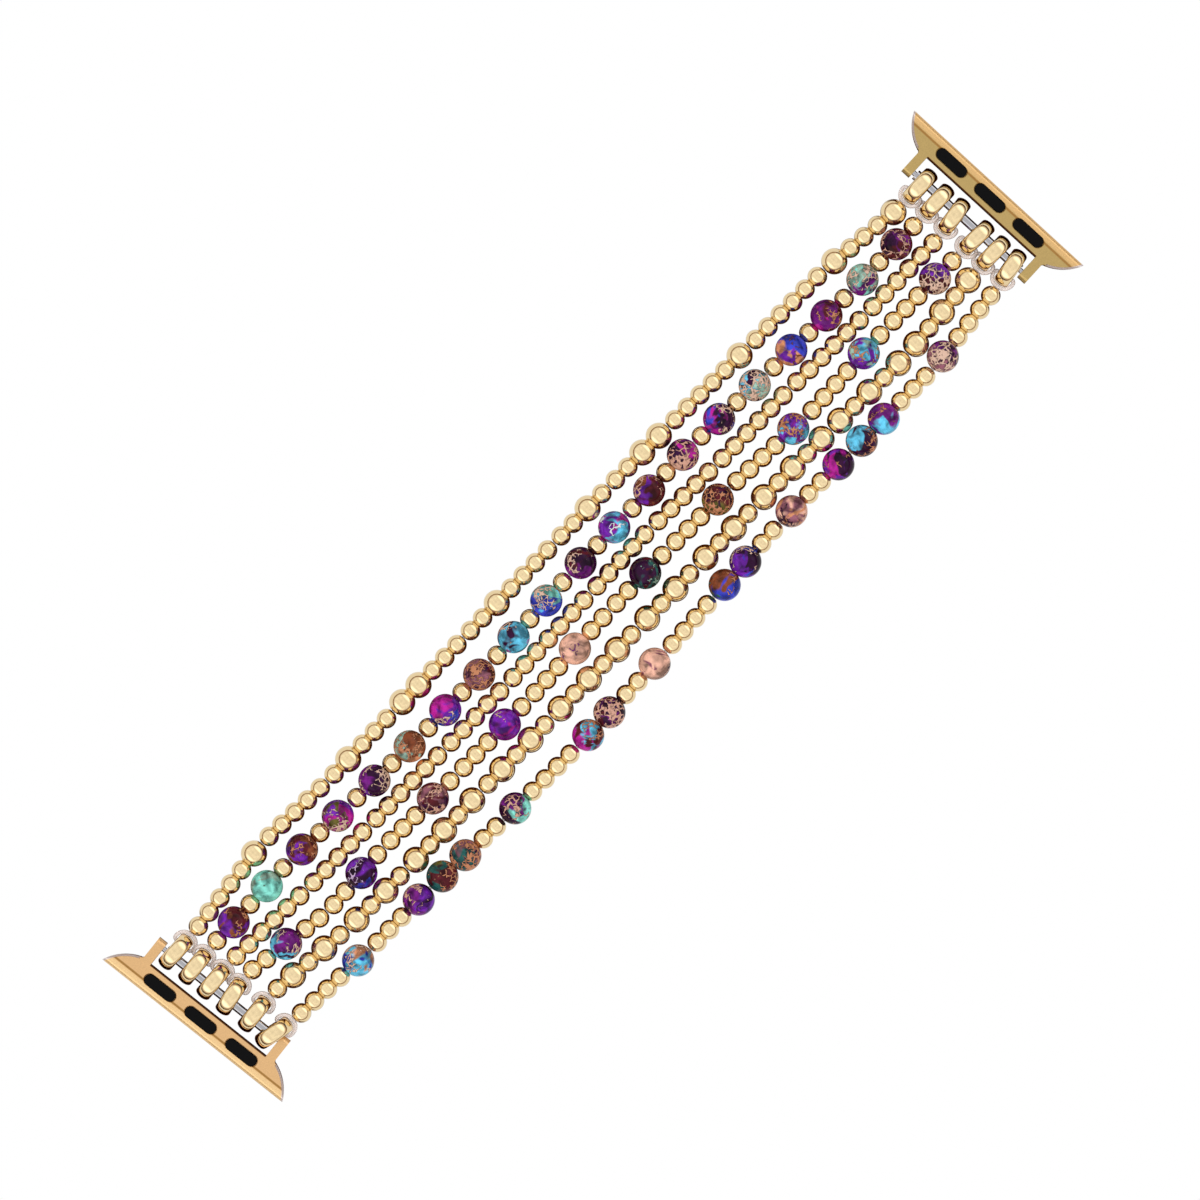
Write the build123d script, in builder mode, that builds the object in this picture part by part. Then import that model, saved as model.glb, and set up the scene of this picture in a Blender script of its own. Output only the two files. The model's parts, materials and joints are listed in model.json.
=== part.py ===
from build123d import *
from math import asin, cos, degrees, radians, sin, sqrt, tan
import os

os.makedirs("parts", exist_ok=True)

# An elastic beaded band for a watch. Six strands of beads run side by side from one
# metal adapter to the other. X runs along the strands, Y across them and Z up, with
# strand 1 on the +Y side and the middle of the whole band over the origin.

# Beads: each is a ball with a bore through it for the elastic
small_diameter = 3.0
small_bore = 1.32
medium_diameter = 4.0
medium_bore = 1.77
stone_diameter = 4.9
stone_bore = 1.34
rim_round = 0.05
bead_gap = 0.01

# Strands: how far two neighbouring rows of beads bend, in degrees, and their room
row_bend = 24
bend_clearance = 0.02
strand_clearance = 0.2

# Elastic cord, and its loop round the wall of a ring
cord_diameter = 0.6
cord_joint_gap = 0.05
loop_clearance = 0.06
loop_lean = 15
first_bead_gap = 0.02

# Rings that carry the strands on the spring bars
ring_diameter = 6.2
ring_bore = 3.6
ring_width = 2.65
ring_corner = 1.15
ring_edge = 0.12

# Spring bar
bar_diameter = 1.4
bar_bore = 1.05
bar_lip = 0.5
bar_end_gap = 0.45
bar_clearance = 0.05
collar_diameter = 1.7
collar_width = 0.6
tip_diameter = 0.8
tip_clearance = 0.05
tip_seat = 1.1
tip_head_length = 1.2
spring_wire = 0.15
spring_turns = 20

# Lug adapter
lug_half_length = 17.35
lug_depth = 4.0
lug_thickness = 2.2
arm_thickness = 1.5
arm_play = 1.0
bar_reach = 3.0
wing_root = 0.45
root_fillet = 0.4
wing_bevel = 0.3
wing_bow_share = (0.55, 0.65)
rail_width = 1.45
rail_nose_radius = 0.92
left_turn = 5.3
right_turn = 1.24

# Pads and sprung lock button in the lug's face
pocket_length = 5.7
pocket_width = 1.85
pocket_pitch = 7.84
pocket_setback = 2.1
pocket_bevel = 0.12
pocket_rim = 0.12
rim_angle = 45
pad_depth = 0.9
pad_recess = 0.1
pad_clearance = 0.05
button_depth = 1.6
button_height = 0.8
button_clearance = 0.06
button_wire = 0.12
button_turns = 3

# The beads of each strand from left to right, one word for each row between two
# bends: s is a small gold bead, m a medium gold bead and j a jasper stone bead
strands = (
    "sssssm sssss smsss mmsss ssmssss ssms ssmm sssssm ssssss msssm",
    "sjsjs jsj sjsj sjsj sjsjs jsj sjsj sjsj sjsjs jsjs",
    "ssssss sssss ssssss sssss sssssss sssss sssss ssssss ssssss ssssss",
    "ssjss ssjs sssjs sssjs sssjss ssjs sssj ssssj ssssjs sssjs",
    "smsms msms msmsm smsms msmsms msms msms msmsm msmsm msmsm",
    "ssssj sssj jjss jssss jjssj ssss jjss jssj jjsss jssss",
)

# Where each strand lies at its nine bends, as shares of the strand pitch from the
# middle of the band, and where its rings sit on the two bars, as shares of the ring
# pitch, with the turn of each ring on its bar in degrees
strand_shares = (
    (2.89, 2.73, 2.75, 2.76, 2.76, 2.75, 2.70, 2.59, 2.54),
    (1.71, 1.55, 1.42, 1.42, 1.56, 1.58, 1.60, 1.43, 1.28),
    (0.55, 0.52, 0.46, 0.45, 0.55, 0.60, 0.47, 0.45, 0.33),
    (-0.56, -0.42, -0.51, -0.51, -0.39, -0.39, -0.46, -0.69, -0.57),
    (-1.51, -1.58, -1.56, -1.57, -1.58, -1.58, -1.59, -1.66, -1.78),
    (-2.63, -2.66, -2.88, -2.98, -2.91, -2.80, -2.67, -2.75, -2.82),
)
left_ring_shares = (2.77, 1.69, 0.63, -0.42, -1.72, -2.93)
left_ring_turns = (-4, -1, -2, 5, -1, -18)
right_ring_shares = (-2.66, -1.64, -0.62, 0.76, 1.78, 2.80)
right_ring_turns = (-1, -1, 6, -4, -2, 8)

# Places that follow from these sizes. Every centre line lies at axis_height.
axis_height = ring_diameter / 2
strand_pitch = (small_diameter + stone_diameter) / 2 + strand_clearance
loop_offset = cord_diameter / 2 + loop_clearance
ring_pitch = ring_width + cord_diameter + 2 * loop_clearance
arm_gap = len(strands) * ring_pitch + 2 * arm_play
lug_reach = bar_reach + lug_depth
knuckle_radius = lug_thickness / 2
strand_start = ring_diameter / 2 + 2 * loop_offset
bead_sizes = {
    "s": (small_diameter, small_bore),
    "m": (medium_diameter, medium_bore),
    "j": (stone_diameter, stone_bore),
}


def bead_length(kind):
    """A bead from rim to rim, where the rounding of each rim meets the ball."""
    diameter, bore = bead_sizes[kind]
    half = sqrt((diameter / 2 - rim_round) ** 2 - (bore / 2 + rim_round) ** 2)
    return 2 * (half + rim_round)


def bend_gap(kind, other):
    """The gap that two beads need at a bend for their rims to stay clear."""
    bores = bead_sizes[kind][1] + bead_sizes[other][1]
    return (bores / 2 + 2 * rim_round) * tan(radians(row_bend / 2)) + bend_clearance


def ring_lead(turn):
    """How far a ring's middle stands off the bar when it is pulled against its collars."""
    lean = radians(abs(turn))
    return ring_bore / 2 - collar_diameter / 2 / cos(lean) - ring_width / 2 * tan(lean) - bar_clearance


# The rings of each end in the adapter's own frame, whose origin is the middle of the
# bar, with X towards the beads and Y along the bar
left_rings = [
    Location((ring_lead(turn), share * ring_pitch, 0), (0, 0, turn))
    for share, turn in zip(left_ring_shares, left_ring_turns)
]
right_rings = [
    Location((ring_lead(turn), share * ring_pitch, 0), (0, 0, turn))
    for share, turn in zip(right_ring_shares, right_ring_turns)
]


def strand_reach(ring, turn):
    """From the middle of the bar to where a strand's first bead starts."""
    return (Location((0, 0, 0), (0, 0, turn)) * ring * Location((strand_start, 0, 0))).position


left_reaches = [strand_reach(ring, left_turn) for ring in left_rings]
right_reaches = [strand_reach(ring, 180 + right_turn) for ring in right_rings]


def strand_length(strand, gap):
    """The length of a strand's beads with one gap between all neighbours in a row."""
    rows = strand.split()
    beads = "".join(rows)
    bends = sum(bend_gap(row[-1], after[0]) for row, after in zip(rows, rows[1:]))
    return sum(bead_length(kind) for kind in beads) + bends + gap * (len(beads) - len(rows))


# The longest strand sets how far apart the bars are, and the others spread out
bar_span = max(
    strand_length(strand, bead_gap) + 2 * first_bead_gap + left.X - right.X
    for strand, left, right in zip(strands, left_reaches, right_reaches)
)
left_outside = lug_reach * cos(radians(left_turn)) + lug_half_length * sin(radians(left_turn))
right_outside = lug_reach * cos(radians(right_turn)) + lug_half_length * sin(radians(right_turn))
left_bar_x = left_outside - (bar_span + left_outside + right_outside) / 2
right_bar_x = left_bar_x + bar_span
left_end = Location((left_bar_x, lug_reach * sin(radians(left_turn)), axis_height), (0, 0, left_turn))
right_end = Location(
    (right_bar_x, -lug_reach * sin(radians(right_turn)), axis_height), (0, 0, 180 + right_turn)
)


def lay_strand(number):
    """A strand's line through its bends, and the place of each of its beads by row."""
    rows = strands[number].split()
    start = left_end.position + left_reaches[number]
    end = right_end.position + right_reaches[number]
    room = end.X - start.X - 2 * first_bead_gap
    spaces = sum(len(row) - 1 for row in rows)
    gap = (room - strand_length(strands[number], 0)) / spaces
    x = start.X + first_bead_gap
    line = [start]
    spans = []
    for index, row in enumerate(rows):
        for kind in row:
            spans.append((index, kind, x + bead_length(kind) / 2))
            x = x + bead_length(kind) + gap
        x = x - gap
        if index < len(rows) - 1:
            opening = bend_gap(row[-1], rows[index + 1][0])
            line.append(Vector(x + opening / 2, strand_shares[number][index] * strand_pitch, axis_height))
            x = x + opening
    line.append(end)
    beads = []
    for index, kind, middle in spans:
        run = line[index + 1] - line[index]
        slope = run.Y / run.X
        place = Vector(middle, line[index].Y + slope * (middle - line[index].X), axis_height)
        beads.append((index, kind, Location(place, (0, 0, degrees(slope)))))
    return line, beads


laid = [lay_strand(number) for number in range(len(strands))]
lines = [line for line, beads in laid]
row_count = len(strands[0].split())
row_hinges = [sum(line[bend].X for line in lines) / len(lines) for bend in range(1, row_count)]


def save(shape, name):
    shape.label = name
    export_step(shape, f"parts/{name}.step")


def ball(kind):
    """A bead: a ball bored through along X, with the rims of the bore rounded."""
    diameter, bore = bead_sizes[kind]
    rim = degrees(asin(bore / diameter))
    with BuildPart() as bead:
        with BuildSketch(Plane.XZ):
            with BuildLine():
                crown = CenterArc((0, 0), diameter / 2, rim, 180 - 2 * rim)
                Line(crown @ 1, crown @ 0)
            make_face()
        revolve(axis=Axis.X)
        rims = bead.edges().group_by(Axis.X)
        fillet(rims[0] + rims[-1], rim_round)
    return bead.part


balls = {kind: ball(kind) for kind in bead_sizes}


def save_beads(row, kinds, name):
    """All the beads of some kinds in one row, each its own solid."""
    with BuildPart() as beads:
        for kind in kinds:
            places = [
                place
                for line, strand in laid
                for index, found, place in strand
                if index == row and found == kind
            ]
            if places:
                with Locations(*places):
                    add(balls[kind])
    save(beads.part, name)


for row in range(row_count):
    save_beads(row, "sm", f"gold_beads_row_{row + 1:02d}")
    save_beads(row, "j", f"stone_beads_row_{row + 1:02d}")


def middle_of_row(line, row):
    """The middle of a strand's run through a row."""
    return (line[row] + line[row + 1]) / 2


def save_bend_cords(bend):
    """The elastic of all strands from the middle of one row, over a bend, to the next."""
    with BuildPart() as cords:
        for line in lines:
            run = (line[bend] - line[bend - 1]).normalized()
            first = middle_of_row(line, bend - 1) + run * cord_joint_gap
            with BuildLine() as path:
                Polyline(first, line[bend], middle_of_row(line, bend))
            with BuildSketch(Plane(origin=path.line @ 0, z_dir=path.line % 0)):
                Circle(cord_diameter / 2)
            sweep(path=path.line, transition=Transition.RIGHT)
    save(cords.part, f"elastic_cords_bend_{bend}")


for bend in range(1, row_count):
    save_bend_cords(bend)


def wall_outline(inner, outer, half, near, far):
    """The section of a ring's wall, with its corners rounded, on the plane in use."""
    Line((inner, half - near), (inner, near - half))
    CenterArc((inner + near, near - half), near, 180, 90)
    Line((inner + near, -half), (outer - far, -half))
    CenterArc((outer - far, far - half), far, 270, 90)
    Line((outer, far - half), (outer, half - far))
    CenterArc((outer - far, half - far), far, 0, 90)
    Line((outer - far, half), (inner + near, half))
    CenterArc((inner + near, half - near), near, 90, 90)


def save_end_cords(side, end, rings, nearest, row):
    """Each strand's elastic from the middle of its last row, looped round its ring."""
    lean = radians(loop_lean)
    inner = ring_bore / 2 - loop_offset
    outer = ring_diameter / 2 + loop_offset
    half = (ring_width / 2 + loop_offset) / cos(lean)
    bight = ring_corner + loop_offset
    tuck = outer - inner - bight - cord_joint_gap
    with BuildPart() as cords:
        for ring, line in zip(rings, lines):
            frame = Plane(end * ring * Location((0, 0, 0), (loop_lean, 0, 0)))
            with BuildLine(frame) as loop:
                wall_outline(inner, outer, half, tuck, bight)
            with BuildSketch(Plane(origin=loop.line @ 0, z_dir=loop.line % 0)):
                Circle(cord_diameter / 2)
            sweep(path=loop.line)
            start = (end * ring * Location((outer, 0, 0))).position
            run = line[nearest] - middle_of_row(line, row)
            stop = middle_of_row(line, row) + run.normalized() * cord_joint_gap
            with BuildLine() as tail:
                Polyline(start, line[nearest], stop)
            with BuildSketch(Plane(origin=tail.line @ 0, z_dir=tail.line % 0)):
                Circle(cord_diameter / 2)
            sweep(path=tail.line, transition=Transition.RIGHT)
    save(cords.part, f"{side}_end_cords")


save_end_cords("left", left_end, left_rings, 0, 0)
save_end_cords("right", right_end, right_rings, -1, row_count - 1)

# A strand ring: a rounded metal ring whose hole runs along the bar
with BuildPart() as strand_ring:
    with BuildSketch(Plane.XY):
        with BuildLine():
            wall_outline(ring_bore / 2, ring_diameter / 2, ring_width / 2, ring_edge, ring_corner)
        make_face()
    revolve(axis=Axis.Y)

for side, end, rings in (("left", left_end, left_rings), ("right", right_end, right_rings)):
    for number, ring in enumerate(rings, start=1):
        save(strand_ring.part.moved(end * ring), f"{side}_ring_{number}")

# Lug adapter: a rail that slides into a watch case, two arms that hold the bar, and
# three oblong pockets in its face
rail_x = -lug_reach
inner_x = -bar_reach
arm_inside = arm_gap / 2
arm_outside = arm_inside + arm_thickness
wing_end = arm_outside + wing_root
wing_bow = (
    rail_x + wing_bow_share[0] * lug_depth,
    wing_end + wing_bow_share[1] * (lug_half_length - wing_end),
)
wing_points = ((rail_x, lug_half_length), wing_bow, (inner_x, wing_end))
pocket_x = rail_x + pocket_setback
top = lug_thickness / 2
button_bottom = top - button_depth

with BuildPart() as lug:
    with BuildSketch(Plane.XZ):
        Circle(knuckle_radius)
        with Locations((rail_x + rail_width, 0)):
            Rectangle(lug_reach - rail_width, lug_thickness, align=(Align.MIN, Align.CENTER))
        with Locations((rail_x + rail_nose_radius, 0)):
            Circle(rail_nose_radius)
        make_hull()
    extrude(amount=lug_half_length, both=True)
    with BuildSketch(Plane.XY) as outline:
        with BuildLine() as half_outline:
            Line((rail_x, 0), wing_points[0])
            ThreePointArc(*wing_points)
            Polyline(
                wing_points[-1],
                (inner_x, arm_outside),
                (knuckle_radius, arm_outside),
                (knuckle_radius, arm_inside),
                (inner_x, arm_inside),
                (inner_x, 0),
                (rail_x, 0),
            )
        make_face()
        roots = outline.vertices().group_by(Axis.X)[1].sort_by(Axis.Y)[-2]
        fillet(roots, root_fillet)
        mirror(about=Plane.XZ)
    extrude(amount=lug_thickness, both=True, mode=Mode.INTERSECT)
    for face in (top, -top):
        for hand in (1, -1):
            with BuildLine() as wing:
                ThreePointArc(*[(x, hand * y, face) for x, y in wing_points])
            with BuildSketch(Plane(origin=wing.line @ 0, x_dir=(0, 0, 1), z_dir=wing.line % 0)):
                RegularPolygon(wing_bevel, 4)
            sweep(path=wing.line, mode=Mode.SUBTRACT)
    with BuildSketch(Plane.XY.offset(top)):
        with Locations((pocket_x, pocket_pitch), (pocket_x, 0), (pocket_x, -pocket_pitch)):
            SlotOverall(pocket_length + 2 * pocket_rim, pocket_width + 2 * pocket_rim, rotation=90)
    extrude(amount=-pocket_rim, taper=rim_angle, mode=Mode.SUBTRACT)
    with BuildSketch(Plane.XY.offset(top)):
        with Locations((pocket_x, pocket_pitch), (pocket_x, -pocket_pitch)):
            SlotOverall(pocket_length, pocket_width, rotation=90)
    extrude(amount=-pad_depth, mode=Mode.SUBTRACT)
    with BuildSketch(Plane.XY.offset(top)):
        with Locations((pocket_x, 0)):
            SlotOverall(pocket_length, pocket_width, rotation=90)
    extrude(amount=-button_depth, mode=Mode.SUBTRACT)
    for hand in (1, -1):
        with BuildSketch(Plane.XZ.offset(-hand * arm_inside)):
            Circle(tip_diameter / 2 + tip_clearance)
        extrude(amount=-hand * (tip_seat + tip_clearance), mode=Mode.SUBTRACT)

# Rubber pads in the two outer pockets
with BuildPart() as pads:
    with BuildSketch(Plane.XY.offset(top - pad_depth)):
        with Locations((pocket_x, pocket_pitch), (pocket_x, -pocket_pitch)):
            SlotOverall(pocket_length - 2 * pad_clearance, pocket_width - 2 * pad_clearance, rotation=90)
    extrude(amount=pad_depth - pad_recess)
    fillet(pads.faces().group_by(Axis.Z)[-1].edges(), pocket_bevel)

# Lock button in the middle pocket, standing on its own coil spring
with BuildPart() as button:
    with BuildSketch(Plane.XY.offset(top - pad_recess - button_height)):
        with Locations((pocket_x, 0)):
            SlotOverall(
                pocket_length - 2 * button_clearance, pocket_width - 2 * button_clearance, rotation=90
            )
    extrude(amount=button_height)
    fillet(button.faces().group_by(Axis.Z)[-1].edges(), pocket_bevel)

button_spring_height = button_depth - pad_recess - button_height - button_wire
button_spring_radius = (pocket_width - 2 * button_clearance) / 2 - button_wire
with BuildPart() as button_spring:
    with BuildLine(Plane((pocket_x, 0, button_bottom + button_wire / 2))) as button_coil:
        Helix(button_spring_height / button_turns, button_spring_height, button_spring_radius)
    with BuildSketch(Plane(origin=button_coil.line @ 0, z_dir=button_coil.line % 0)):
        Circle(button_wire / 2)
    sweep(path=button_coil.line, is_frenet=True)

# Spring bar: a tube with a collar and a narrowed mouth at each end, a tip that slides
# in each mouth, and the coil spring that pushes both tips out
tube_half = arm_gap / 2 - bar_end_gap
head_end = tube_half - bar_lip - tip_head_length
with BuildPart() as bar_tube:
    with BuildSketch(Plane.XZ):
        Circle(bar_diameter / 2)
        Circle(bar_bore / 2, mode=Mode.SUBTRACT)
    extrude(amount=tube_half, both=True)
    for hand in (1, -1):
        with BuildSketch(Plane.XZ.offset(-hand * tube_half)):
            Circle(bar_diameter / 2)
            Circle(tip_diameter / 2 + tip_clearance, mode=Mode.SUBTRACT)
        extrude(amount=hand * bar_lip)
        with BuildSketch(Plane.XZ.offset(-hand * tube_half)):
            Circle(collar_diameter / 2)
            Circle(bar_diameter / 2, mode=Mode.SUBTRACT)
        extrude(amount=hand * collar_width)

tip_end = arm_gap / 2 + tip_seat
with BuildPart() as bar_tip:
    with BuildSketch(Plane.XZ.offset(-head_end)):
        Circle(bar_bore / 2 - tip_clearance)
    extrude(amount=-(tip_head_length - tip_clearance))
    with BuildSketch(Plane.XZ.offset(-head_end)):
        Circle(tip_diameter / 2)
    extrude(amount=-(tip_end - head_end))
    fillet(bar_tip.edges().group_by(Axis.Y)[-1], tip_diameter / 4)

spring_half = head_end - spring_wire / 2 - tip_clearance
with BuildPart() as bar_spring:
    with BuildLine() as bar_coil:
        Helix(
            2 * spring_half / spring_turns,
            2 * spring_half,
            bar_bore / 2 - tip_clearance - spring_wire / 2,
            center=(0, -spring_half, 0),
            direction=(0, 1, 0),
        )
    with BuildSketch(Plane(origin=bar_coil.line @ 0, z_dir=bar_coil.line % 0)):
        Circle(spring_wire / 2)
    sweep(path=bar_coil.line, is_frenet=True)

for side, end in (("left", left_end), ("right", right_end)):
    save(lug.part.moved(end), f"{side}_lug")
    save(pads.part.moved(end), f"{side}_lug_pads")
    save(button.part.moved(end), f"{side}_lock_button")
    save(button_spring.part.moved(end), f"{side}_lock_spring")
    save(bar_tube.part.moved(end), f"{side}_bar_tube")
    save(bar_spring.part.moved(end), f"{side}_bar_spring")
    save(bar_tip.part.moved(end), f"{side}_bar_tip_a")
    save(bar_tip.part.moved(end * Location((0, 0, 0), (0, 0, 180))), f"{side}_bar_tip_b")

print("row hinges along X, mm:", [round(x, 3) for x in row_hinges])
print("left bar middle, mm:", left_end.position)
print("right bar middle, mm:", right_end.position)
for side, rings in (("left", left_rings), ("right", right_rings)):
    print(f"{side} ring lead, mm:", round(sum(ring.position.X for ring in rings) / len(rings), 3))
print("overall length, mm:", round(bar_span + left_outside + right_outside, 2))
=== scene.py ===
import json
import math

import bpy
import numpy as np
from mathutils import Euler, Matrix, Vector

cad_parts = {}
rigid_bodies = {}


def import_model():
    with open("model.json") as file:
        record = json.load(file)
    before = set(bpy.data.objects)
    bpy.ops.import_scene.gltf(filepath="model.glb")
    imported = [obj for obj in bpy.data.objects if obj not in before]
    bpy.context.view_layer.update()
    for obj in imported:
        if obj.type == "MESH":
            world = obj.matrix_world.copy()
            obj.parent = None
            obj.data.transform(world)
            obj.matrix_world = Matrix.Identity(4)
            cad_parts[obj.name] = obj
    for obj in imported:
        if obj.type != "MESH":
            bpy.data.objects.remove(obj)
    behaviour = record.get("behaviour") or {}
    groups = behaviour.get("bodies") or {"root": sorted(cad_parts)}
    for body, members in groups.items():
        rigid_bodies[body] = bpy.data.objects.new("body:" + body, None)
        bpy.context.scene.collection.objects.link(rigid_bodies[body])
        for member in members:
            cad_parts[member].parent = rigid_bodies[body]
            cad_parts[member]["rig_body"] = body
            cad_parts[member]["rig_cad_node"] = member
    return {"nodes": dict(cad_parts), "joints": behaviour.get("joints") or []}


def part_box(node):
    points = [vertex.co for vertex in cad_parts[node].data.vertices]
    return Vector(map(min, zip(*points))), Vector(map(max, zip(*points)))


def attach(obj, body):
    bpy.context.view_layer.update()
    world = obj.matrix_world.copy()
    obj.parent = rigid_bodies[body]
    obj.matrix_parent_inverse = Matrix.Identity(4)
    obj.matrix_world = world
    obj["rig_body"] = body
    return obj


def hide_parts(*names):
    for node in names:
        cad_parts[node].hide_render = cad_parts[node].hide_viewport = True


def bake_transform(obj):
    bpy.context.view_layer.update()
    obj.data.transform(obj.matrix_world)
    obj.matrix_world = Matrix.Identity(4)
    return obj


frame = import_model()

for stray in ("Cube", "Light", "Camera"):
    if stray in bpy.data.objects:
        bpy.data.objects.remove(bpy.data.objects[stray])
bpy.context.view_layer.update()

# Studio: the band lies on white paper in a white tent, and a long lens looks straight down
# at it. The strands run up to the right across the picture.
MM = 0.001
axis_height = 3.1 * MM
strand_angle = math.radians(46.25)
picture_width = 181.3 * MM
picture_middle = Vector((2.1 * MM, 0.5 * MM, axis_height))
lens, sensor = 200, 36

scene = bpy.context.scene
scene.view_settings.view_transform = "Standard"
camera = bpy.data.objects.new("camera", bpy.data.cameras.new("camera"))
camera.data.lens = lens
camera.data.sensor_width = sensor
camera.location = picture_middle + Vector((0, 0, picture_width * lens / sensor))
camera.rotation_euler = Euler((0, 0, -strand_angle))
scene.collection.objects.link(camera)
scene.camera = camera

softbox = bpy.data.objects.new("softbox", bpy.data.lights.new("softbox", "AREA"))
softbox.data.size = 0.5
softbox.data.energy = 1.6
softbox.data.color = (1, 0.99, 0.97)
softbox.location = (-0.45, 0.4, 1.0)
softbox.rotation_euler = (-softbox.location).to_track_quat("-Z", "Y").to_euler()
softbox.visible_glossy = False
scene.collection.objects.link(softbox)


def add_node(nodes, kind, **settings):
    """A new shader node of this kind with these settings."""
    node = nodes.new(kind if kind.startswith("NodeGroup") else f"ShaderNode{kind}")
    for setting, value in settings.items():
        setattr(node, setting, value)
    return node


def map_range(nodes, link, value, old, new):
    """A value taken from one range to another and held inside it."""
    node = add_node(nodes, "MapRange")
    for socket, number in zip(("From Min", "From Max", "To Min", "To Max"), (*old, *new)):
        if isinstance(number, (int, float)):
            node.inputs[socket].default_value = number
        else:
            link(number, node.inputs[socket])
    link(value, node.inputs["Value"])
    return node.outputs["Result"]


def calculate(nodes, link, operation, first, second):
    """One step of arithmetic on two values or sockets."""
    node = add_node(nodes, "Math", operation=operation)
    for socket, value in zip(node.inputs, (first, second)):
        if isinstance(value, (int, float)):
            socket.default_value = value
        else:
            link(value, socket)
    return node.outputs[0]


def mix_colours(nodes, link, mask, under, over, blend="MIX"):
    """The colour over laid on the colour under, where the mask is white."""
    node = add_node(nodes, "Mix", data_type="RGBA", blend_type=blend)
    factor, colour_a, colour_b = node.inputs[0], node.inputs[6], node.inputs[7]
    for socket, value in ((factor, mask), (colour_a, under), (colour_b, over)):
        if isinstance(value, (int, float, tuple)):
            socket.default_value = value
        else:
            link(value, socket)
    return node.outputs[2]


# The tent is white cloth all round, a little uneven, with brown shade near the table. Beyond
# each end of the band a lamp shines on it, over a dark gap. The camera sees plain white.
tent_white, tent_shade = (1, 0.99, 0.97, 1), (0.3, 0.16, 0.08, 1)
dimmest = 0.08
world = bpy.data.worlds.new("studio")
scene.world = world
world.use_nodes = True
nodes, link = world.node_tree.nodes, world.node_tree.links.new
direction = add_node(nodes, "TexCoord")
cloth = add_node(nodes, "TexNoise")
cloth.inputs["Scale"].default_value = 2.2
cloth.inputs["Detail"].default_value = 1.5
link(direction.outputs["Generated"], cloth.inputs["Vector"])
uneven = map_range(nodes, link, cloth.outputs["Fac"], (0.3, 0.7), (0.78, 1.04))
way = add_node(nodes, "SeparateXYZ")
link(direction.outputs["Generated"], way.inputs[0])
dimmer = map_range(nodes, link, way.outputs["Z"], (0.12, 0.34), (0, 1))
tint = mix_colours(nodes, link, dimmer, tent_shade, tent_white)
link(tint, nodes["Background"].inputs["Color"])
endwards = calculate(nodes, link, "ABSOLUTE", way.outputs["X"], 0)


def at_the_ends(outwards, strength, height, fade):
    """Light or dark on the tent beyond each end of the band, that fades over a height."""
    beyond = map_range(nodes, link, endwards, outwards, (0, strength))
    return calculate(nodes, link, "MULTIPLY", beyond, map_range(nodes, link, way.outputs["Z"], height, fade))


lamp = at_the_ends(outwards=(0.6, 0.8), strength=0.7, height=(0.3, 0.42), fade=(0, 1))
gap = at_the_ends(outwards=(0.8, 0.95), strength=-0.85, height=(0.08, 0.2), fade=(1, 0))
tent = calculate(nodes, link, "ADD", calculate(nodes, link, "ADD", uneven, lamp), gap)
link(calculate(nodes, link, "MAXIMUM", tent, dimmest), nodes["Background"].inputs["Strength"])
plain_white = add_node(nodes, "Background")
plain_white.inputs["Color"].default_value = (1, 1, 1, 1)
ray = add_node(nodes, "LightPath")
straight = calculate(
    nodes, link, "MAXIMUM", ray.outputs["Is Camera Ray"], ray.outputs["Is Transmission Ray"]
)


def mix_shaders(nodes, link, mask, under, over):
    """One shader's light where the mask is 0 and the other's where it is 1."""
    layers = add_node(nodes, "MixShader")
    for socket, value in zip(layers.inputs, (mask, under, over)):
        link(value, socket)
    return layers.outputs[0]


seen = mix_shaders(nodes, link, straight, nodes["Background"].outputs[0], plain_white.outputs[0])
link(seen, nodes["World Output"].inputs["Surface"])


def new_material(name, **values):
    """A material with these values on its Principled shader, its nodes and its link maker."""
    material = bpy.data.materials.new(name)
    material.use_nodes = True
    nodes = material.node_tree.nodes
    shader = nodes["Principled BSDF"]
    for socket, value in values.items():
        shader.inputs[socket.replace("_", " ").title().replace("Ior", "IOR")].default_value = value
    return material, nodes, shader, material.node_tree.links.new


# The paper is lost in the white for the camera, and nothing is hidden below it when the band
# bends down. Under the band little light gets in, and there the metal mirrors a deep brown.
paper_size, paper_drop, soft_edge = 6, 0.02 * MM, 1.5 * MM
lit_paper, shaded_paper = (0.9, 0.9, 0.9, 1), (0.1, 0.06, 0.045, 1)
mirrored_paper, mirrored_shade = (0.85, 0.84, 0.82, 1), (0.055, 0.014, 0.002, 1)
paper, nodes, shader, link = new_material("floor_paper", roughness=0.9)
spot = add_node(nodes, "TexCoord")
spread = add_node(nodes, "SeparateXYZ")
link(spot.outputs["Object"], spread.inputs[0])
from_middle = [calculate(nodes, link, "ABSOLUTE", spread.outputs[axis], 0) for axis in "XY"]


def soft_box(low, high, half_width):
    """A soft-edged area of the paper, from low to high along X either side of the middle."""
    sides = [
        map_range(nodes, link, from_middle[axis], (edge - soft_edge, edge + soft_edge), fade)
        for axis, edge, fade in ((0, low, (0, 1)), (0, high, (1, 0)), (1, half_width, (1, 0)))
    ]
    return calculate(nodes, link, "MULTIPLY", calculate(nodes, link, "MULTIPLY", *sides[:2]), sides[2])


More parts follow.
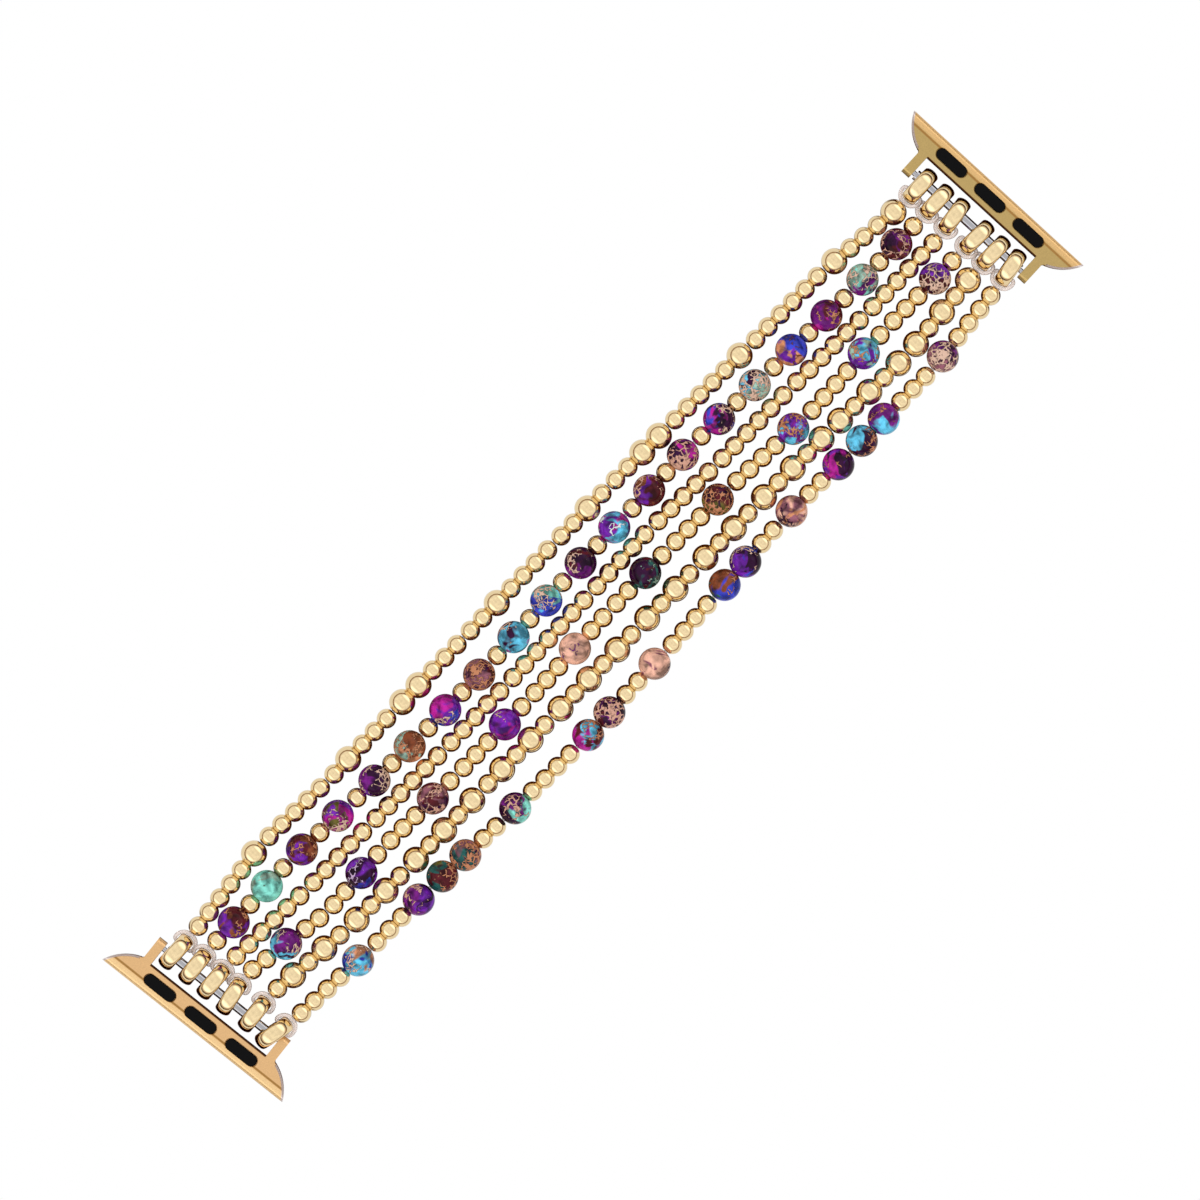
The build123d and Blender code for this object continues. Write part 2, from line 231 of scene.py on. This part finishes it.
under_strands = soft_box(low=-9 * MM, high=81 * MM, half_width=12 * MM)
under_adapters = soft_box(low=77 * MM, high=88.5 * MM, half_width=17 * MM)
under_band = calculate(nodes, link, "MAXIMUM", under_strands, under_adapters)
link(mix_colours(nodes, link, under_band, lit_paper, shaded_paper), shader.inputs["Base Color"])
mirrored = mix_colours(nodes, link, under_band, mirrored_paper, mirrored_shade)
glow = add_node(nodes, "Emission")
link(mirrored, glow.inputs["Color"])
clear = add_node(nodes, "BsdfTransparent")
ray = add_node(nodes, "LightPath")
facing = add_node(nodes, "NewGeometry")
surface = shader.outputs[0]
for seen_by, look in (
    (ray.outputs["Is Glossy Ray"], glow),
    (ray.outputs["Is Transmission Ray"], clear),
    (ray.outputs["Is Camera Ray"], clear),
    (facing.outputs["Backfacing"], clear),
):
    surface = mix_shaders(nodes, link, seen_by, surface, look.outputs[0])
link(surface, nodes["Material Output"].inputs["Surface"])
bpy.ops.mesh.primitive_plane_add(size=paper_size, location=(0, 0, -paper_drop))
floor = bpy.context.object
floor.name = "floor"
floor.data.materials.append(paper)

# The fine grain that every finish of the band has: it changes the gloss and tilts the
# surface a little, and each material sets its size, gloss and depth.
surface_grain = bpy.data.node_groups.new("surface_grain", "ShaderNodeTree")
for socket in ("Scale", "Smoothest", "Roughest", "Depth"):
    surface_grain.interface.new_socket(socket, in_out="INPUT", socket_type="NodeSocketFloat")
for socket, kind in (("Roughness", "Float"), ("Normal", "Vector"), ("Mask", "Float")):
    surface_grain.interface.new_socket(socket, in_out="OUTPUT", socket_type=f"NodeSocket{kind}")
nodes, link = surface_grain.nodes, surface_grain.links.new
given, result = add_node(nodes, "NodeGroupInput"), add_node(nodes, "NodeGroupOutput")
place = add_node(nodes, "TexCoord")
grain = add_node(nodes, "TexNoise")
link(place.outputs["Object"], grain.inputs["Vector"])
link(given.outputs["Scale"], grain.inputs["Scale"])
spread = map_range(
    nodes, link, grain.outputs["Fac"], (0.3, 0.7), (given.outputs["Smoothest"], given.outputs["Roughest"])
)
bump = add_node(nodes, "Bump")
link(given.outputs["Depth"], bump.inputs["Distance"])
link(grain.outputs["Fac"], bump.inputs["Height"])
link(spread, result.inputs["Roughness"])
link(bump.outputs["Normal"], result.inputs["Normal"])
link(map_range(nodes, link, grain.outputs["Fac"], (0.35, 0.65), (0, 1)), result.inputs["Mask"])


def add_grain(nodes, shader, link, scale, smoothest, roughest, depth):
    """The surface grain on a material, with its own size, gloss and depth in millimetres."""
    grain = add_node(nodes, "Group", node_tree=surface_grain)
    for socket, value in zip(grain.inputs, (scale, smoothest, roughest, depth * MM)):
        socket.default_value = value
    link(grain.outputs["Roughness"], shader.inputs["Roughness"])
    link(grain.outputs["Normal"], shader.inputs["Normal"])
    return grain.outputs["Mask"]


# Elastic: a clear round cord runs through each strand. Between two rows of beads it bends
# with them, and at each end it is looped round the wall of a ring and stretches.
cord_ior, elastic_milk = 1.4, (0.97, 0.87, 0.84, 1)
doubles_apart = 0.0005 * MM
smooth_angle = math.radians(40)


def copy_of_node(node, name):
    """The CAD node's mesh as a new piece, with its loose triangles joined."""
    piece = frame["nodes"][node].copy()
    piece.data = piece.data.copy()
    piece.name = name
    piece.parent = None
    piece.hide_viewport = piece.hide_render = False
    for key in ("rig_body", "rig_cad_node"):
        del piece[key]
    scene.collection.objects.link(piece)
    if piece.data.has_custom_normals:
        piece.data.attributes.remove(piece.data.attributes["custom_normal"])
    bpy.ops.object.select_all(action="DESELECT")
    piece.select_set(True)
    bpy.context.view_layer.objects.active = piece
    bpy.ops.object.mode_set(mode="EDIT")
    bpy.ops.mesh.select_all(action="SELECT")
    bpy.ops.mesh.remove_doubles(threshold=doubles_apart)
    bpy.ops.object.mode_set(mode="OBJECT")
    return piece


def cut_across(piece, places):
    """More edges round a tube, at planes across X, so that it can bend there."""
    bpy.ops.object.mode_set(mode="EDIT")
    for x in places:
        bpy.ops.mesh.select_all(action="SELECT")
        bpy.ops.mesh.bisect(plane_co=(x, 0, 0), plane_no=(1, 0, 0))
    bpy.ops.object.mode_set(mode="OBJECT")


elastic_finish, nodes, shader, link = new_material(
    "clear_elastic_cord", base_color=elastic_milk, transmission_weight=0.45, ior=cord_ior
)
add_grain(nodes, shader, link, scale=900, smoothest=0.12, roughest=0.25, depth=0.004)


def finish_elastic(piece, node, places):
    """Cuts for bending, smooth shading and the elastic's material on a copied CAD cord."""
    cut_across(piece, places)
    bpy.ops.object.shade_smooth_by_angle(angle=smooth_angle)
    piece.data.materials.clear()
    piece.data.materials.append(elastic_finish)
    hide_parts(node)


# Each cord is cut five times either side of its bend
bend_count, bend_cuts, cut_step = 9, 5, 0.4 * MM
joints = {joint["name"]: joint for joint in frame["joints"]}
for bend in range(1, bend_count + 1):
    node = f"elastic_cords_bend_{bend}"
    hinge = Vector(joints[f"bend_{bend}"]["pos_m"])
    cord = copy_of_node(node, f"elastic_over_bend_{bend}")
    finish_elastic(cord, node, [hinge.x + step * cut_step for step in range(-bend_cuts, bend_cuts + 1)])
    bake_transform(cord)

# The end loops stretch between the inside of the last bead and a little past its rim
inside_bead, past_bead, stretch_cuts = 2.6 * MM, 0.1 * MM, 12
for side, row, away in (("left", "row_01", -1), ("right", "row_10", 1)):
    node = f"{side}_end_cords"
    loops = copy_of_node(node, f"{side}_end_loops")
    row_low, row_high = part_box(f"gold_beads_{row}")
    bead_side = row_low.x if away < 0 else row_high.x
    start = bead_side - away * inside_bead
    stop = bead_side + away * past_bead
    step = (stop - start) / stretch_cuts
    finish_elastic(loops, node, [start + number * step for number in range(stretch_cuts + 1)])
    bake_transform(loops)


# Gold beads: turned metal balls in two sizes, bored for the elastic, polished and plated
# pale gold. They touch end to end, and shade is painted dark on the rims between them.
small_size, medium_size = 3.0 * MM, 4.0 * MM
small_bore, medium_bore = 1.32 * MM, 1.77 * MM
rim_round, rim_segments = 0.05 * MM, 3
# The rim colour is painted shade, where neighbouring beads touch.
pale_gold, rim_shade = (0.93, 0.74, 0.44, 1), (0.3, 0.15, 0.04, 1)


def drilled_ball(name, diameter, bore, segments, rings):
    """A ball bored through along X, all in metres, but not quite as asked.

    The cuts snap to corners of the ball within 0.1 mm. So a gold bead comes out longer, with
    a narrower bore and sharp rims, and a stone comes out whole, with no bore.
    """
    bpy.ops.object.select_all(action="DESELECT")
    bpy.ops.mesh.primitive_uv_sphere_add(
        segments=segments,
        ring_count=rings,
        radius=diameter / 2,
        rotation=(0, math.pi / 2, 0),
        calc_uvs=False,
    )
    ball = bpy.context.object
    ball.name = name
    bpy.ops.object.transform_apply(location=False, rotation=True, scale=False)
    half = math.sqrt(diameter**2 - bore**2) / 2
    bpy.ops.object.mode_set(mode="EDIT")
    bpy.ops.mesh.select_mode(type="EDGE")
    for end in (-1, 1):
        bpy.ops.mesh.select_all(action="SELECT")
        bpy.ops.mesh.bisect(plane_co=(end * half, 0, 0), plane_no=(end, 0, 0), clear_outer=True)
    bpy.ops.mesh.select_all(action="DESELECT")
    bpy.ops.mesh.select_non_manifold()
    bpy.ops.mesh.bridge_edge_loops()
    bpy.ops.mesh.select_all(action="DESELECT")
    bpy.ops.object.mode_set(mode="OBJECT")
    corners = ball.data.vertices
    close = 0.01 * rim_round
    for edge in ball.data.edges:
        first, second = (corners[corner].co.x for corner in edge.vertices)
        edge.select = abs(first - second) < close and abs(abs(first) - half) < close
    bpy.ops.object.mode_set(mode="EDIT")
    corner_angle = math.pi / 2 - math.asin(bore / diameter)
    rim_reach = rim_round / math.tan(corner_angle / 2)
    bpy.ops.mesh.bevel(offset=rim_reach, segments=rim_segments, affect="EDGES")
    bpy.ops.mesh.select_all(action="SELECT")
    bpy.ops.mesh.normals_make_consistent(inside=False)
    bpy.ops.object.mode_set(mode="OBJECT")
    bpy.ops.object.shade_smooth_by_angle(angle=math.radians(60))
    # The corners by each bore rim are marked for the painted shade between touching beads.
    painted_rim = ball.data.attributes.new("painted_rim_mask", "FLOAT", "POINT")
    painted_rim_start = half - 0.9 * rim_round
    painted_rim.data.foreach_set("value", [float(abs(corner.co.x) > painted_rim_start) for corner in corners])
    return ball


def bead_places(node):
    """The middle and the size of each bead of a CAD node."""
    mesh = frame["nodes"][node].data
    points = np.empty(len(mesh.vertices) * 3)
    mesh.vertices.foreach_get("co", points)
    points = points.reshape(-1, 3)
    corners = np.empty(len(mesh.loops), int)
    mesh.loops.foreach_get("vertex_index", corners)
    places = np.round(points / doubles_apart).astype(int)
    joined = np.unique(places, axis=0, return_inverse=True)[1].ravel()
    triangles = joined[corners].reshape(-1, 3)
    label = np.arange(joined.max() + 1)
    while True:
        lowest = label[triangles].min(axis=1)
        after = label.copy()
        for corner in range(3):
            np.minimum.at(after, triangles[:, corner], lowest)
        after = after[after]
        if (after == label).all():
            break
        label = after
    beads = label[joined]
    found = []
    for bead in np.unique(beads):
        own = points[beads == bead]
        low, high = own.min(axis=0), own.max(axis=0)
        found.append((Vector((low + high) / 2), float(high[2] - low[2])))
    return found


gold_finish, nodes, shader, link = new_material("polished_pale_gold", metallic=1)
# Painted shade darkens the bead rims where the beads touch.
painted_rim = add_node(nodes, "Attribute", attribute_name="painted_rim_mask").outputs["Fac"]
link(mix_colours(nodes, link, painted_rim, pale_gold, rim_shade), shader.inputs["Base Color"])
add_grain(nodes, shader, link, scale=700, smoothest=0.05, roughest=0.13, depth=0.006)

patterns = {
    small_size: drilled_ball("small_bead", small_size, small_bore, segments=24, rings=16),
    medium_size: drilled_ball("medium_bead", medium_size, medium_bore, segments=28, rings=18),
}


def strand_direction(bead, others):
    """The way the strand runs at a bead: towards its nearest neighbour along the strand."""
    steps = [other - bead for other in others]
    steps = [step for step in steps if 0 < abs(step.x) and abs(step.y) < abs(step.x)]
    nearest = min(steps, key=lambda step: step.length)
    return nearest if nearest.x > 0 else -nearest


def string_beads(places, others, name, finish):
    """One piece of all the beads at these places, each a copy of its pattern."""
    copies = []
    for middle, size in places:
        pattern = patterns[min(patterns, key=lambda diameter: abs(diameter - size))]
        run = strand_direction(middle, others)
        bead = bpy.data.objects.new(name, pattern.data.copy())
        turned = Matrix.Rotation(math.atan2(run.y, run.x), 4, "Z")
        bead.data.transform(Matrix.Translation(middle) @ turned)
        scene.collection.objects.link(bead)
        copies.append(bead)
    bpy.ops.object.select_all(action="DESELECT")
    for bead in copies:
        bead.select_set(True)
    bpy.context.view_layer.objects.active = copies[0]
    if len(copies) > 1:
        bpy.ops.object.join()
    copies[0].name = name
    copies[0].data.materials.clear()
    copies[0].data.materials.append(finish)
    return copies[0]


rows = [f"row_{number:02d}" for number in range(1, bend_count + 2)]
gold_places = {row: bead_places(f"gold_beads_{row}") for row in rows}
stone_places = {row: bead_places(f"stone_beads_{row}") for row in rows}
for row in rows:
    all_middles = [middle for middle, size in gold_places[row] + stone_places[row]]
    beads = string_beads(gold_places[row], all_middles, f"gold_bead_{row}", gold_finish)
    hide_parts(f"gold_beads_{row}")
    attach(beads, row)

# Stone beads: polished balls of dyed and pressed jasper, no two alike. Each has its own
# three dyes and matrix. Its digits tell how much matrix there is, and towards which hour
# of the clock the second dye and the matrix lie (0 is all over).
stone_size, stone_bore = 4.9 * MM, 1.34 * MM
most_matrix = 4
stone_colours = {
    "violet": (0.14, 0.014, 0.34),
    "purple": (0.15, 0.01, 0.19),
    "magenta": (0.4, 0.012, 0.27),
    "plum": (0.028, 0.003, 0.03),
    "maroon": (0.085, 0.009, 0.015),
    "blue": (0.035, 0.05, 0.5),
    "sky": (0.11, 0.5, 0.75),
    "aqua": (0.2, 0.62, 0.54),
    "teal": (0.018, 0.1, 0.095),
    "sage": (0.27, 0.42, 0.35),
    "olive": (0.12, 0.1, 0.02),
    "rust": (0.19, 0.05, 0.02),
    "mauve": (0.25, 0.09, 0.13),
    "tan": (0.55, 0.23, 0.12),
    "pink": (0.68, 0.38, 0.29),
    "cream": (0.74, 0.5, 0.39),
    "lilac": (0.55, 0.4, 0.62),
    "white": (0.75, 0.78, 0.85),
}
stones_of_strand_2 = (
    "violet maroon rust tan 1 1 1|aqua aqua sage olive 0 6 0|maroon violet rust tan 2 8 4|"
    "magenta violet olive cream 2 12 7|plum purple violet cream 3 9 3|rust tan sage tan 2 6 0|"
    "violet magenta blue cream 2 10 5|mauve maroon plum tan 4 3 0|sky plum magenta cream 1 10 11|"
    "blue aqua sky cream 3 12 10|plum purple maroon cream 2 6 9|violet sky magenta white 1 4 9|"
    "maroon violet rust pink 2 9 12|plum purple magenta pink 4 3 6|plum magenta blue cream 2 7 3|"
    "sage sky plum cream 4 11 0|tan blue violet rust 1 1 0|purple maroon magenta tan 2 3 3|"
    "sage purple aqua cream 3 5 10|maroon plum purple pink 3 10 0"
)
stones_of_strand_4 = (
    "purple sky plum cream 2 7 2|plum violet blue lilac 3 1 9|mauve plum maroon pink 3 6 3|"
    "violet purple magenta cream 1 6 9|pink pink pink purple 1 9 8|plum teal maroon sage 1 5 3|"
    "olive maroon plum tan 4 12 0|violet sky purple tan 3 5 11|violet sky sage tan 2 2 9|"
    "violet maroon plum cream 4 7 5"
)
stones_of_strand_6 = (
    "sky tan blue cream 2 12 12|purple violet plum pink 2 3 9|maroon olive teal tan 2 12 3|"
    "mauve teal plum tan 4 8 3|plum aqua purple pink 3 4 11|magenta maroon sky tan 2 2 1|"
    "maroon plum purple pink 4 3 0|pink pink mauve plum 1 4 5|rust blue teal tan 2 5 11|"
    "plum violet blue cream 2 8 1|pink mauve tan plum 2 10 8|plum magenta violet tan 1 9 9|"
    "plum sky maroon tan 3 10 2|purple sky violet tan 2 5 11|mauve purple plum cream 4 1 6"
)

jasper_finish, nodes, shader, link = new_material("dyed_jasper", specular_ior_level=0.12)
place = add_node(nodes, "TexCoord")


def stone_noise(scale, detail, distortion, output="Fac"):
    """Cloudy noise through the stone."""
    noise = add_node(nodes, "TexNoise")
    for socket, value in (("Scale", scale), ("Detail", detail), ("Distortion", distortion)):
        noise.inputs[socket].default_value = value
    link(place.outputs["Object"], noise.inputs["Vector"])
    return noise.outputs[output]


dyes = {}
for part in ("first", "second", "third", "matrix"):
    dyes[part] = add_node(nodes, "Attribute", attribute_name=f"dye_{part}").outputs["Color"]
amount, dye_side, matrix_side = (
    add_node(nodes, "Attribute", attribute_name=name).outputs["Fac"]
    for name in ("matrix_amount", "dye_side", "matrix_side")
)
# The dyes: the second one soaks in from its own side, the third one in scattered patches
wandering = stone_noise(scale=300, detail=1.5, distortion=1.2)
wandering = map_range(nodes, link, wandering, (0.3, 0.7), (-1.1, 1.1))
wandering = calculate(nodes, link, "ADD", wandering, dye_side)
soaked = map_range(nodes, link, wandering, (-0.05, 0.35), (0, 1))
colour = mix_colours(nodes, link, soaked, dyes["first"], dyes["second"])
patches = stone_noise(scale=380, detail=2, distortion=1)
third_patches = map_range(nodes, link, patches, (0.56, 0.62), (0, 1))
colour = mix_colours(nodes, link, third_patches, colour, dyes["third"])
clouds = stone_noise(scale=600, detail=3, distortion=0.6)
clouds = map_range(nodes, link, clouds, (0.36, 0.64), (0.35, 1.45))
colour = mix_colours(nodes, link, 1.0, colour, clouds, "MULTIPLY")

# The matrix: a pale web of veins that widens into flecked patches, with a dark outline
limit = map_range(nodes, link, amount, (0, 1), (0.68, 0.43))
lean = calculate(nodes, link, "MULTIPLY", matrix_side, 0.09)
region = calculate(nodes, link, "ADD", stone_noise(scale=420, detail=3, distortion=0.8), lean)
region = calculate(nodes, link, "SUBTRACT", region, limit)
bent = add_node(nodes, "VectorMath", operation="MULTIPLY_ADD")
link(stone_noise(scale=700, detail=2, distortion=0, output="Color"), bent.inputs[0])
bent.inputs[1].default_value = (1.1 * MM,) * 3
link(place.outputs["Object"], bent.inputs[2])
cells = add_node(nodes, "TexVoronoi", feature="DISTANCE_TO_EDGE")
cells.inputs["Scale"].default_value = 1250
link(bent.outputs[0], cells.inputs["Vector"])
web = map_range(nodes, link, region, (0, 0.3), (0.04, 0.26))
pale = calculate(nodes, link, "SUBTRACT", web, cells.outputs["Distance"])
outline = map_range(nodes, link, pale, (-0.12, -0.02), (1, 0.3))
no_matrix = map_range(nodes, link, region, (-0.01, 0.01), (1, 0))
outline = calculate(nodes, link, "MAXIMUM", outline, no_matrix)
colour = mix_colours(nodes, link, 1.0, colour, outline, "MULTIPLY")
flecks = stone_noise(scale=1900, detail=3, distortion=0)
flecks = map_range(nodes, link, flecks, (0.38, 0.5), (0.45, 1))
flecked = mix_colours(nodes, link, 1.0, dyes["matrix"], flecks, "MULTIPLY")
veins = map_range(nodes, link, pale, (-0.02, 0.02), (0, 1))
in_region = map_range(nodes, link, region, (-0.005, 0.005), (0, 1))
mask = calculate(nodes, link, "MULTIPLY", veins, in_region)
link(mix_colours(nodes, link, mask, colour, flecked), shader.inputs["Base Color"])
add_grain(nodes, shader, link, scale=1200, smoothest=0.06, roughest=0.14, depth=0.003)


def towards(hour, middle, corners):
    """How far each corner of a stone lies towards this hour of the clock, from -1 to 1."""
    if hour == 0:
        return [0.0] * len(corners)
    angle = math.pi / 2 - hour / 12 * math.tau - strand_angle
    way = Vector((math.cos(angle), math.sin(angle), 0)) / (stone_size / 2)
    return [(corner - middle).dot(way) for corner in corners]


stone_bead = drilled_ball("stone_bead", stone_size, stone_bore, segments=36, rings=24)
patterns[stone_size] = stone_bead
corners_per_stone = len(stone_bead.data.vertices)
all_stones = (stones_of_strand_2, stones_of_strand_4, stones_of_strand_6)
stone_words = [iter(words.split("|")) for words in all_stones]
for row in rows:
    across = sorted(stone_places[row], key=lambda found: -found[0].y)
    groups = across[:2], across[2:3], across[3:]
    by_strand = [sorted(group, key=lambda found: found[0].x) for group in groups]
    stones, words_of_stones = [], []
    for group, words in zip(by_strand, stone_words):
        for found in group:
            stones.append(found)
            words_of_stones.append(next(words).split())
    all_middles = [middle for middle, size in gold_places[row] + stone_places[row]]
    piece = string_beads(stones, all_middles, f"stone_bead_{row}", jasper_finish)
    for part, key in enumerate(dyes):
        layer = piece.data.attributes.new(f"dye_{key}", "FLOAT_COLOR", "POINT")
        values = [(*stone_colours[words[part]], 1) for words in words_of_stones]
        values = np.repeat(np.array(values, np.float32), corners_per_stone, axis=0)
        layer.data.foreach_set("color", values.ravel())
    corners = [corner.co for corner in piece.data.vertices]
    values = {"matrix_amount": [], "dye_side": [], "matrix_side": []}
    for number, ((middle, size), words) in enumerate(zip(stones, words_of_stones)):
        own = corners[number * corners_per_stone : (number + 1) * corners_per_stone]
        values["matrix_amount"] += [int(words[4]) / most_matrix] * corners_per_stone
        values["dye_side"] += towards(int(words[5]), middle, own)
        values["matrix_side"] += towards(int(words[6]), middle, own)
    for name, numbers in values.items():
        piece.data.attributes.new(name, "FLOAT", "POINT").data.foreach_set("value", numbers)
    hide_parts(f"stone_beads_{row}")
    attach(piece, row)

for pattern in patterns.values():
    bpy.data.objects.remove(pattern)


# Strand rings: six short rings on each bar, of the beads' metal. They are cast thick walled,
# tumbled until their section is all round, polished and plated.
ring_count = 6
ring_outside, ring_bore, ring_width = 6.2 * MM, 3.6 * MM, 2.44 * MM
ring_wall = (ring_outside - ring_bore) / 2


def ring_axis(node):
    """The way a CAD ring's hole runs, along which its corners spread least."""
    corners = frame["nodes"][node].data.vertices
    points = np.unique([tuple(round(value, 7) for value in corner.co) for corner in corners], axis=0)
    spreads, ways = np.linalg.eigh(np.cov(points.T))
    return Vector(ways[:, 0])


for side in ("left", "right"):
    for number in range(1, ring_count + 1):
        node = f"{side}_ring_{number}"
        low, high = (Vector(corner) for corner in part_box(node))
        bpy.ops.object.select_all(action="DESELECT")
        bpy.ops.mesh.primitive_torus_add(
            major_segments=64,
            minor_segments=28,
            major_radius=(ring_bore + ring_wall) / 2,
            minor_radius=ring_wall / 2,
            generate_uvs=False,
        )
        ring = bpy.context.object
        ring.name = f"{side}_strand_ring_{number}"
        bpy.ops.object.shade_smooth()
        widened = Matrix.Diagonal((1, 1, ring_width / ring_wall, 1))
        turned = ring_axis(node).to_track_quat("Z", "Y").to_matrix().to_4x4()
        ring.data.transform(Matrix.Translation((low + high) / 2) @ turned @ widened)
        ring.data.materials.append(gold_finish)
        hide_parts(node)
        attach(ring, f"{side}_rings")

# Spring bars: bright steel tubes with collars, tips and a coil spring inside. Each half of
# that spring is squeezed by its own tip, and the lock button squeezes a spring below it.
bright_steel = (0.45, 0.45, 0.48, 1)
steel_finish, nodes, shader, link = new_material("bright_steel", base_color=bright_steel, metallic=1)
add_grain(nodes, shader, link, scale=1500, smoothest=0.05, roughest=0.14, depth=0.003)


def finish_node(node, finish):
    """A CAD node's own mesh in a new material."""
    frame["nodes"][node].material_slots[0].material = finish


def coil(node, name):
    """A CAD node's coil spring as a new piece in steel."""
    spring = copy_of_node(node, name)
    bpy.ops.object.shade_smooth_by_angle(angle=smooth_angle)
    spring.data.materials.clear()
    spring.data.materials.append(steel_finish)
    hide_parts(node)
    return spring


for side in ("left", "right"):
    for part in ("bar_tube", "bar_tip_a", "bar_tip_b"):
        finish_node(f"{side}_{part}", steel_finish)
    low, high = (Vector(corner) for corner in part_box(f"{side}_bar_spring"))
    middle, half_length = (low + high) / 2, (high.y - low.y) / 2
    for tip in ("tip_a", "tip_b"):
        tip_low, tip_high = (Vector(corner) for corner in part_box(f"{side}_bar_{tip}"))
        outwards = ((tip_low + tip_high) / 2 - middle).normalized()
        half_spring = coil(f"{side}_bar_spring", f"{side}_bar_half_spring_{tip[-1]}")
        bpy.ops.object.mode_set(mode="EDIT")
        bpy.ops.mesh.select_all(action="SELECT")
        bpy.ops.mesh.bisect(plane_co=middle, plane_no=outwards, clear_inner=True, use_fill=True)
        bpy.ops.object.mode_set(mode="OBJECT")
        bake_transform(half_spring)
    low, high = (Vector(corner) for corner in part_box(f"{side}_lock_spring"))
    middle = (low + high) / 2
    lock_spring = coil(f"{side}_lock_spring", f"{side}_lock_coil")
    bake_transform(lock_spring)


# Lug adapters: milled metal, bead blasted and anodised a satin gold. The left one is given a
# rosier colour than the right one, and each rail, which slopes to a round nose, has a painted highlight.
# Their places below run outwards from the spring bar, and across from the middle.
rail_start, rail_full = 5.4 * MM, 5.9 * MM
crease, crease_dark, crease_gone = 5.42 * MM, 0.1 * MM, 0.24 * MM
inner_face, inner_face_end, arm_root = 3.16 * MM, 3.2 * MM, 11.1 * MM
arc_middle, arc_radius, arc_blur = (10.09 * MM, 10.457 * MM), 7.22 * MM, 0.12 * MM
wing_start, wing_full = 12.9 * MM, 13.4 * MM
# Painted shade for the crease line and for the inner edge of the face.
crease_shade, inner_shade = (0.42, 0.22, 0.065, 1), (0.09, 0.03, 0.01, 1)
# A painted highlight colour for the wings' rounded edge.
wing_highlight_colour = (0.72, 0.63, 0.62, 1)


def satin_gold(name, side, turn, face_colour, rail_highlight_colour):
    """Blasted and anodised metal with a sparkling grain, a painted highlight on its rail, painted shade
    along its crease and inner edge and a painted highlight on its wing edges.
    """
    finish, nodes, shader, link = new_material(name, metallic=1)
    speckle = add_grain(nodes, shader, link, scale=7500, smoothest=0.28, roughest=0.42, depth=0.007)
    speckle = map_range(nodes, link, speckle, (0, 1), (0.93, 1.06))
    bar = Vector(joints[f"{side}_bar_swing"]["pos_m"])
    place = add_node(nodes, "TexCoord")
    measured = []
    for way in ((-math.cos(turn), -math.sin(turn), 0), (-math.sin(turn), math.cos(turn), 0)):
        along = add_node(nodes, "VectorMath", operation="DOT_PRODUCT")
        link(place.outputs["Object"], along.inputs[0])
        along.inputs[1].default_value = way
        measured.append(calculate(nodes, link, "SUBTRACT", along.outputs["Value"], bar.dot(Vector(way))))
    out, across = measured[0], calculate(nodes, link, "ABSOLUTE", measured[1], 0)
    # The rail is painted paler, as a highlight where its slope catches the light.
    rail_highlight = map_range(nodes, link, out, (rail_start, rail_full), (0, 1))
    colour = mix_colours(nodes, link, rail_highlight, (*face_colour, 1), (*rail_highlight_colour, 1))
    # Painted shade along the crease, a dark line where the face bends into the rail.
    from_crease = calculate(nodes, link, "ABSOLUTE", calculate(nodes, link, "SUBTRACT", out, crease), 0)
    crease_shade_mask = map_range(nodes, link, from_crease, (crease_dark, crease_gone), (1, 0))
    colour = mix_colours(nodes, link, crease_shade_mask, colour, crease_shade)
    # Painted shade along the inner edge of the face, between the arms.
    inner_edge_shade = map_range(nodes, link, out, (inner_face, inner_face_end), (1, 0))
    between_arms = map_range(nodes, link, across, (arm_root, arm_root + 0.02 * MM), (1, 0))
    inner_edge_shade = calculate(nodes, link, "MULTIPLY", inner_edge_shade, between_arms)
    colour = mix_colours(nodes, link, inner_edge_shade, colour, inner_shade)
    # A painted highlight on the rounded edge of the wings, beyond the arc of their outline
    legs = [
        calculate(nodes, link, "POWER", calculate(nodes, link, "SUBTRACT", value, middle), 2)
        for value, middle in zip((out, across), arc_middle)
    ]
    from_middle = calculate(nodes, link, "SQRT", calculate(nodes, link, "ADD", *legs), 0)
    past_arc = map_range(nodes, link, from_middle, (arc_radius, arc_radius + arc_blur), (0, 1))
    on_wing = map_range(nodes, link, across, (wing_start, wing_full), (0, 1))
    # The painted highlight covers the wings beyond the arc.
    edge = calculate(nodes, link, "MULTIPLY", past_arc, on_wing)
    colour = mix_colours(nodes, link, edge, colour, wing_highlight_colour)
    link(mix_colours(nodes, link, 1.0, colour, speckle, "MULTIPLY"), shader.inputs["Base Color"])
    finish_node(f"{side}_lug", finish)


# Each adapter gets its face colour, then its rail's painted highlight colour.
satin_gold("satin_rose_gold", "left", math.radians(5.3), (0.82, 0.515, 0.25), (0.88, 0.61, 0.31))
satin_gold("satin_olive_gold", "right", math.radians(181.24), (0.555, 0.395, 0.155), (0.78, 0.5, 0.22))

# Pads and lock button: black rubber with a fine moulded grain, each in its own pocket of
# the adapter's face. The pads are pressed in, and the button in the middle is sprung.
rubber_black = (0.004, 0.004, 0.0045, 1)
rubber_finish, nodes, shader, link = new_material(
    "black_rubber", base_color=rubber_black, specular_ior_level=0.06
)
add_grain(nodes, shader, link, scale=5000, smoothest=0.55, roughest=0.75, depth=0.004)
for side in ("left", "right"):
    for part in ("lug_pads", "lock_button"):
        finish_node(f"{side}_{part}", rubber_finish)
